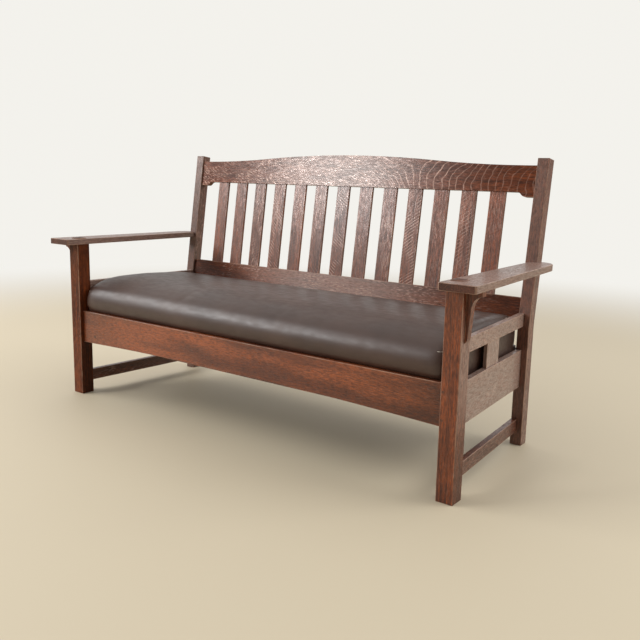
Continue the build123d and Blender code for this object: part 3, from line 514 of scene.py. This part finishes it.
for number, look in enumerate(slat_looks, start=1):
    tone, warmth, ribbons, spacing, slant, flecks = look
    oak(f"back_slat_{number:02d}", along, ahead_back, up_back, slat_tone * tone, warmth,
        ribbons=ribbons, spacing=spacing, slant=slant, wobble=slat_wobble, flecks=flecks,
        gloss=slat_gloss)


# Plain materials: the detail of their noise, the range of it that goes from the dark colour to
# the light one, and how far their roughness strays to either side
fibre_detail = (4, 0.65)
fibre_range = (0.3, 0.7)
fibre_play = 0.08
thread_scale = (90, 90, 90)
thread_detail = (3, 0.6)
thread_share = 0.6
thread_play = 0.05
thread_bump = (0.6, 0.0005)
play_range = (0.2, 0.8)


def soft_material(name, dark, light, scale, roughness, strength, distance):
    """A matt, finely grained material for felt, bare wood and end grain."""
    material, tree, shader = new_material(name)
    fine = noise_at(tree, scaled(tree, object_place(tree), scale), *fibre_detail)
    colour = blended(tree, remap(tree, fine, *fibre_range), dark, light)
    rough = remap(tree, fine, *play_range, roughness - fibre_play, roughness + fibre_play)
    feed(tree, shader, colour, rough, fine, strength, distance)
    return material


def woven_material(name, dark, light, pitch, roughness):
    """A plain weave of threads one pitch apart."""
    material, tree, shader = new_material(name)
    threads = [maths(tree, "SINE", product(tree, object_part(tree, axis), 2 * pi / pitch))
               for axis in ("X", "Y")]
    weave = remap(tree, product(tree, *threads), -1, 1)
    uneven = noise_at(tree, scaled(tree, object_place(tree), thread_scale), *thread_detail)
    colour = blended(tree, product(tree, total(tree, weave, uneven), thread_share), dark, light)
    rough = remap(tree, uneven, *play_range, roughness - thread_play, roughness + thread_play)
    feed(tree, shader, colour, rough, weave, *thread_bump)
    return material


plain_wood = soft_material("bare_wood", (0.30, 0.18, 0.09, 1), (0.50, 0.34, 0.19, 1),
                           (9, 160, 160), 0.62, 0.3, 0.0004)
felt = soft_material("cotton_felt", (0.58, 0.53, 0.43, 1), (0.78, 0.73, 0.62, 1),
                     (60, 60, 60), 0.92, 0.5, 0.002)
jute = woven_material("jute_webbing", (0.26, 0.19, 0.11, 1), (0.50, 0.40, 0.25, 1), 0.0030, 0.85)
sacking = woven_material("burlap_weave", (0.20, 0.14, 0.08, 1), (0.44, 0.33, 0.20, 1),
                         0.0022, 0.90)
black_cloth = woven_material("dust_cloth_weave", (0.010, 0.010, 0.011, 1),
                             (0.035, 0.035, 0.038, 1), 0.0012, 0.88)
peg_wood = soft_material("peg_end_grain", (0.060, 0.020, 0.009, 1), (0.150, 0.050, 0.022, 1),
                         (700, 700, 700), 0.45, 0.3, 0.0003)

# Screws and staples: zinc, with faint marks
steel_dark = (0.36, 0.36, 0.35, 1)
steel_light = (0.60, 0.60, 0.58, 1)
steel_scale = (400, 400, 400)
steel_roughness = (0.28, 0.46)
steel_bump = (0.1, 0.0001)
steel, steel_tree, steel_shader = new_material("zinc_steel")
steel_marks = noise_at(steel_tree, scaled(steel_tree, object_place(steel_tree), steel_scale), 3)
steel_colour = blended(steel_tree, steel_marks, steel_dark, steel_light)
steel_rough = remap(steel_tree, steel_marks, *play_range, *steel_roughness)
feed(steel_tree, steel_shader, steel_colour, steel_rough, steel_marks, *steel_bump)
steel_shader.inputs["Metallic"].default_value = 1.0

finishes = {
    "joint_pegs": peg_wood,
    "corbel_splines": plain_wood,
    "cleat_screws": steel,
    "cover_staples": steel,
    "seat_padding": felt,
    "seat_burlap": sacking,
    "seat_webbing_long": jute,
    "seat_webbing_cross": jute,
    "seat_dust_cover": black_cloth,
}
for board in ("front", "rear", "left", "right"):
    finishes[f"seat_cleat_{board}"] = plain_wood
    finishes[f"seat_frame_{board}"] = plain_wood
for number in (1, 2, 3):
    finishes[f"seat_brace_{number}"] = plain_wood
for piece, finish in finishes.items():
    nodes[piece].material_slots[0].material = finish

# Leather: smooth and dark, with a fine grain and faint creases
hide_cells = 620.0
cloud_scale = (5, 7, 7)
cloud_detail = (3, 0.5)
crease_scale = (26, 60, 60)
crease_detail = (4, 0.55)
hide_range = (0.25, 0.75)
hide_roughness = (0.36, 0.52)
grain_rise = 0.45
crease_rise = 0.35
leather_bump = (0.20, 0.0008)
leather_coat = 0.25
leather_coat_roughness = 0.38
leather, leather_tree, leather_shader = new_material("brown_leather")
hide = object_place(leather_tree)
hide_grain = node(leather_tree, "ShaderNodeTexVoronoi", {"Vector": hide, "Scale": hide_cells},
                  feature="SMOOTH_F1").outputs["Distance"]
hide_clouds = noise_at(leather_tree, scaled(leather_tree, hide, cloud_scale), *cloud_detail)
hide_creases = noise_at(leather_tree, scaled(leather_tree, hide, crease_scale), *crease_detail)
hide_share = remap(leather_tree, hide_clouds, *hide_range)
hide_colour = blended(leather_tree, hide_share, leather_dark, leather_light)
hide_rough = remap(leather_tree, hide_creases, *hide_range, *hide_roughness)
hide_height = total(leather_tree, product(leather_tree, hide_grain, grain_rise),
                    product(leather_tree, hide_creases, crease_rise))
feed(leather_tree, leather_shader, hide_colour, hide_rough, hide_height, *leather_bump)
leather_shader.inputs["Coat Weight"].default_value = leather_coat
leather_shader.inputs["Coat Roughness"].default_value = leather_coat_roughness

# The seat's outline, from the boxes of the boards inside it
skin = 0.002
waist_lift = 0.0005
leather_low, leather_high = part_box("seat_leather")
board_low, board_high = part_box("seat_frame_front")
rear_low, rear_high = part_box("seat_frame_rear")
seat_near = board_low.y - skin
seat_far = rear_high.y + skin
seat_taper = (board_high.x - rear_high.x) / (rear_low.y - board_low.y)
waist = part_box("front_seat_rail")[1].z + waist_lift
crown = leather_high.z
swell_front = seat_near - leather_low.y
swell_side = 0.0015
swell_rear = 0.0005
front_run = 0.150
side_run = 0.095
rear_run = 0.380
cushion_corner = 0.026
seat_corner_share = 0.35
rear_corner_share = 0.20

# The tight band of leather round the boards: its corners, and how far it laps the stuffed form
band_corner = 0.003
band_lap = 0.008
band_rise = 0.004

# Each level: share of the height, of the swell, of the runs in to the crown from the
# front, the sides and the rear, and of the corner radius
cushion_levels = (
    (0.00, 0.00, 0.000, 0.000, 0.000, 0.35),
    (0.05, 0.70, -0.010, 0.000, 0.000, 1.00),
    (0.14, 1.00, -0.030, 0.000, 0.000, 1.00),
    (0.24, 1.00, -0.044, 0.000, 0.000, 1.05),
    (0.32, 1.00, -0.043, 0.000, 0.000, 1.10),
    (0.40, 1.00, -0.032, 0.000, 0.000, 1.15),
    (0.48, 1.00, -0.011, 0.001, 0.000, 1.20),
    (0.55, 1.00, 0.011, 0.003, 0.001, 1.25),
    (0.62, 1.00, 0.043, 0.007, 0.002, 1.30),
    (0.70, 1.00, 0.112, 0.022, 0.011, 1.35),
    (0.77, 1.00, 0.218, 0.042, 0.053, 1.40),
    (0.85, 1.00, 0.373, 0.084, 0.224, 1.45),
    (0.92, 1.00, 0.553, 0.179, 0.500, 1.50),
    (0.97, 1.00, 0.767, 0.442, 0.789, 1.40),
    (1.00, 1.00, 1.000, 1.000, 1.000, 0.75),
)
corner_steps = 6
level_steps = 6

# Stuffing: the faces' size, how the cloth is held and pressed, and how often it is evened out
start_swell = 0.0006
voxel = 0.010
first_rounds = 4
settled_rounds = 2
last_rounds = 14
hold_rise = 0.004
stuffing_hold = 0.2
cloth_frames = 20
cloth_pressure = 4
cloth_mass = 0.3
cloth_stiffness = 25
cloth_growth = -0.003

# Where the stuffed leather may go: its greatest push, its least cover over the padding, how
# uneven it lies, and the room that it has past the CAD solid on each side
most_push = 0.022
least_cover = 0.0013
unevenness = 0.0010
uneven_across = 5
uneven_ahead = 9
side_room = 0.003
front_room = 0.0085
rear_room = 0.0005
top_room = 0.006
rail_clearance = 0.0008


def half_width(y):
    """Half the seat's width at a depth y."""
    return board_high.x + skin - seat_taper * (y - board_low.y)


def outline(front_inset, side_inset, rear_inset, radius):
    """The seat's outline as a ring of points, its corners rounded, each edge drawn in."""
    near = seat_near + front_inset
    far = seat_far - rear_inset
    corners = ((half_width(near) - side_inset, near), (half_width(far) - side_inset, far),
               (-half_width(far) + side_inset, far), (-half_width(near) + side_inset, near))
    starts = (-90, 0, 90, 180)
    ring = []
    for (x, y), start in zip(corners, starts):
        bend = radius if y == near else radius * rear_corner_share
        centre = Vector((x - bend if x > 0 else x + bend, y + bend if y == near else y - bend))
        for step in range(corner_steps + 1):
            turn = radians(start + 90 * step / corner_steps)
            ring.append(centre + bend * Vector((cos(turn), sin(turn))))
    return ring


def smooth_levels():
    """The cushion's levels with a smooth curve drawn through them."""
    ends = (cushion_levels[0],) + cushion_levels + (cushion_levels[-1],)
    levels = []
    for index in range(1, len(ends) - 2):
        before, first, second, after = (Vector(level) for level in ends[index - 1:index + 3])
        for step in range(level_steps):
            t = step / level_steps
            levels.append(first + (second - before) * t / 2
                          + (before * 2 - first * 5 + second * 4 - after) * t * t / 2
                          + (first * 3 - before - second * 3 + after) * t * t * t / 2)
    return levels + [Vector(cushion_levels[-1])]


def add_walls(form, rings):
    """Walls from each ring of points to the next above it, closed at the foot and the top."""
    loops = [[form.verts.new((point.x, point.y, height)) for point in ring]
             for ring, height in rings]
    for lower, upper in zip(loops, loops[1:]):
        for index in range(len(lower)):
            after = (index + 1) % len(lower)
            form.faces.new((lower[index], lower[after], upper[after], upper[index]))
    form.faces.new(reversed(loops[0]))
    form.faces.new(loops[-1])


def cushion_mesh():
    """A closed form for the stuffed seat, with the leather's own thickness outside the padding."""
    form = bmesh.new()
    rings = [(outline(0.0, 0.0, 0.0, cushion_corner * seat_corner_share), leather_low.z)]
    for height_share, swell_share, in_front, in_side, in_rear, corner_share in smooth_levels():
        swell = min(max(swell_share, 0.0), 1.0)
        grown = start_swell * swell
        ring = outline(front_run * in_front - swell_front * swell - grown,
                       side_run * in_side - swell_side * swell - grown,
                       rear_run * in_rear - swell_rear * swell, cushion_corner * corner_share)
        rings.append((ring, waist + (crown - waist) * height_share + grown))
    add_walls(form, rings)
    mesh = bpy.data.meshes.new("leather_cushion")
    form.to_mesh(mesh)
    form.free()
    return mesh


def applied(piece):
    """The piece with its modifiers made part of its mesh."""
    shaped = bpy.data.meshes.new_from_object(
        piece.evaluated_get(bpy.context.evaluated_depsgraph_get()))
    piece.modifiers.clear()
    piece.data = shaped
    return piece


def tree_of(mesh):
    """A mesh's faces, ready to be searched for the nearest point."""
    return BVHTree.FromPolygons([vertex.co for vertex in mesh.vertices],
                                [face.vertices for face in mesh.polygons])


def smoothed(piece, rounds):
    """The piece with its faces evened out."""
    relax = piece.modifiers.new("relax", "SMOOTH")
    relax.factor = 0.5
    relax.iterations = rounds
    return applied(piece)


cushion = bpy.data.objects.new("leather_cushion", cushion_mesh())
bpy.context.scene.collection.objects.link(cushion)
full_form = tree_of(cushion.data)
remesh = cushion.modifiers.new("even_faces", "REMESH")
remesh.mode = "VOXEL"
remesh.voxel_size = voxel
smoothed(cushion, first_rounds)
for vertex in cushion.data.vertices:
    vertex.co = full_form.find_nearest(vertex.co)[0]
smoothed(cushion, settled_rounds)
started = [vertex.co.copy() for vertex in cushion.data.vertices]

hold = cushion.vertex_groups.new(name="hold")
for vertex in cushion.data.vertices:
    grip = 1.0 if vertex.co.z < waist + hold_rise else stuffing_hold
    hold.add([vertex.index], grip, "REPLACE")
cloth = cushion.modifiers.new("stuffing", "CLOTH")
cloth.settings.quality = 5
cloth.settings.mass = cloth_mass
cloth.settings.tension_stiffness = cloth_stiffness
cloth.settings.compression_stiffness = cloth_stiffness
cloth.settings.bending_stiffness = 1.0
cloth.settings.shrink_min = cloth_growth
cloth.settings.use_pressure = True
cloth.settings.uniform_pressure_force = cloth_pressure
cloth.settings.effector_weights.gravity = 0
cloth.settings.vertex_group_mass = "hold"
cloth.settings.pin_stiffness = 1.0
cloth.point_cache.frame_start = 1
cloth.point_cache.frame_end = cloth_frames
for step in range(1, cloth_frames + 1):
    bpy.context.scene.frame_set(step)
applied(cushion)
smoothed(cushion, last_rounds)
bpy.context.scene.frame_set(1)

padding = tree_of(nodes["seat_padding"].data)


def covering(point):
    """A point moved outwards, where it must, to leave the leather its cover over the padding."""
    nearest, outwards, _, _ = padding.find_nearest(point)
    cover = (point - nearest).dot(outwards)
    return point + outwards * (least_cover - cover) if cover < least_cover else point


for vertex, start in zip(cushion.data.vertices, started):
    push = vertex.co - start
    if push.length > most_push:
        push = push * (most_push / push.length)
    moved = start + push
    if moved.z > waist:
        spot = Vector((moved.x * uneven_across, moved.y * uneven_ahead, 0))
        moved.z += unevenness * noise.noise(spot)
        moved = covering(moved)
    limit = half_width(moved.y) + side_room
    moved.x = max(-limit, min(limit, moved.x))
    moved.y = max(leather_low.y - front_room, min(leather_high.y + rear_room, moved.y))
    if moved.y < seat_near:
        moved.z = max(moved.z, waist + rail_clearance)
    moved.z = min(moved.z, crown + top_room)
    vertex.co = moved
finer = cushion.modifiers.new("finer", "SUBSURF")
finer.levels = 1
finer.render_levels = 1
applied(cushion)
for face in cushion.data.polygons:
    face.use_smooth = True

# Below the waist the stuffed form is cut off, and the sharp-edged band takes its place
shape = bmesh.new()
shape.from_mesh(cushion.data)
bmesh.ops.bisect_plane(shape, geom=shape.verts[:] + shape.edges[:] + shape.faces[:],
                       plane_co=(0, 0, waist - band_lap), plane_no=(0, 0, -1), clear_outer=True)
bmesh.ops.holes_fill(shape, edges=[edge for edge in shape.edges if edge.is_boundary], sides=0)
band_ring = outline(-start_swell, -start_swell, -start_swell, band_corner)
add_walls(shape, [(band_ring, leather_low.z), (band_ring, waist + band_rise)])
shape.to_mesh(cushion.data)
shape.free()
cushion.data.materials.clear()
cushion.data.materials.append(leather)
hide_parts("seat_leather")
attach(cushion, "seat")

# Floor: plain and pale, fading into the backdrop where the camera sees it
floor_reach = 40.0
floor_roughness = 0.6
fade_start = 2.2
fade_end = 5.0
floor_mesh = bpy.data.meshes.new("floor")
floor_z = cad_bounds[0][2]
floor_mesh.from_pydata(
    [(-floor_reach, -floor_reach, floor_z), (floor_reach, -floor_reach, floor_z),
     (floor_reach, floor_reach, floor_z), (-floor_reach, floor_reach, floor_z)],
    [], [(0, 1, 2, 3)])
floor = bpy.data.objects.new("floor", floor_mesh)
bpy.context.scene.collection.objects.link(floor)
paving, paving_tree, paving_shader = new_material("pale_floor")
paving_shader.inputs["Base Color"].default_value = floor_colour
paving_shader.inputs["Roughness"].default_value = floor_roughness
from_middle = node(paving_tree, "ShaderNodeVectorMath", {0: object_place(paving_tree)},
                   operation="LENGTH").outputs["Value"]
far_glow = node(paving_tree, "ShaderNodeEmission", {"Color": backdrop_colour, "Strength": 1.0})
paving_eye = node(paving_tree, "ShaderNodeLightPath").outputs["Is Camera Ray"]
fade = product(paving_tree, remap(paving_tree, from_middle, fade_start, fade_end), paving_eye)
faded = node(paving_tree, "ShaderNodeMixShader",
             {"Fac": fade, 1: paving_shader.outputs[0], 2: far_glow.outputs[0]})
paving_tree.links.new(faded.outputs[0], paving_tree.nodes["Material Output"].inputs["Surface"])
floor_mesh.materials.append(paving)

# Backdrop and room light: pale to the eye, and for the light brightest low down behind the
# settle and overhead
low_band = (0.85, 0.50)
low_band_foot = (0.06, 0.18)
low_band_behind = (-0.35, 0.25)
low_band_light = 0.75
overhead_band = (0.40, 0.90)
overhead_light = (0.20, 0.85)
world = bpy.data.worlds.new("studio")
bpy.context.scene.world = world
world.use_nodes = True
sky = world.node_tree
sky.nodes.clear()
heading = node(sky, "ShaderNodeSeparateXYZ",
               {"Vector": node(sky, "ShaderNodeTexCoord").outputs["Generated"]}).outputs
low_glow = product(sky, remap(sky, heading["Z"], *low_band),
                   remap(sky, heading["Y"], *low_band_behind),
                   remap(sky, heading["Z"], *low_band_foot))
overhead = remap(sky, heading["Z"], *overhead_band, *overhead_light)
room_light = total(sky, product(sky, low_glow, low_band_light), overhead)
room = node(sky, "ShaderNodeBackground", {"Color": room_colour, "Strength": room_light})
seen = node(sky, "ShaderNodeBackground", {"Color": backdrop_colour, "Strength": 1.0})
eye = node(sky, "ShaderNodeLightPath").outputs["Is Camera Ray"]
sky_mix = node(sky, "ShaderNodeMixShader", {"Fac": eye, 1: room.outputs[0], 2: seen.outputs[0]})
node(sky, "ShaderNodeOutputWorld", {"Surface": sky_mix.outputs[0]})

# Soft boxes: place, aim, width, height, power
soft_boxes = (
    ("key_light", (-4.0, -2.6, 2.9), (0.0, -0.3, 0.45), 3.0, 2.5, 132),
    ("front_light", (-3.9, -5.1, 2.55), (0.0, 0.3, 0.9), 1.4, 1.4, 125),
    ("side_light", (3.4, 1.4, 2.3), (0.8, 0.0, 0.2), 2.2, 1.6, 50),
)
for name, place, aim, width, height, power in soft_boxes:
    lamp = bpy.data.lights.new(name, "AREA")
    lamp.shape = "RECTANGLE"
    lamp.size = width
    lamp.size_y = height
    lamp.energy = power
    box = bpy.data.objects.new(name, lamp)
    box.location = place
    box.rotation_euler = (Vector(aim) - Vector(place)).to_track_quat("-Z", "Y").to_euler()
    box.visible_camera = False
    bpy.context.scene.collection.objects.link(box)

# Camera
level_right = Vector((cos(camera_yaw), sin(camera_yaw), 0))
view = Vector((-sin(camera_yaw) * cos(camera_pitch), cos(camera_yaw) * cos(camera_pitch),
               sin(camera_pitch)))
level_up = level_right.cross(view)
right = cos(camera_roll) * level_right + sin(camera_roll) * level_up
upward = -sin(camera_roll) * level_right + cos(camera_roll) * level_up
lens = bpy.data.cameras.new("camera")
lens.lens = camera_lens
lens.sensor_width = camera_sensor
lens.shift_x, lens.shift_y = camera_shift
camera = bpy.data.objects.new("camera", lens)
turned = Matrix((right, upward, -view)).transposed().to_4x4()
camera.matrix_world = Matrix.Translation(camera_place) @ turned
bpy.context.scene.collection.objects.link(camera)
bpy.context.scene.camera = camera
bpy.context.scene.view_settings.view_transform = "Standard"
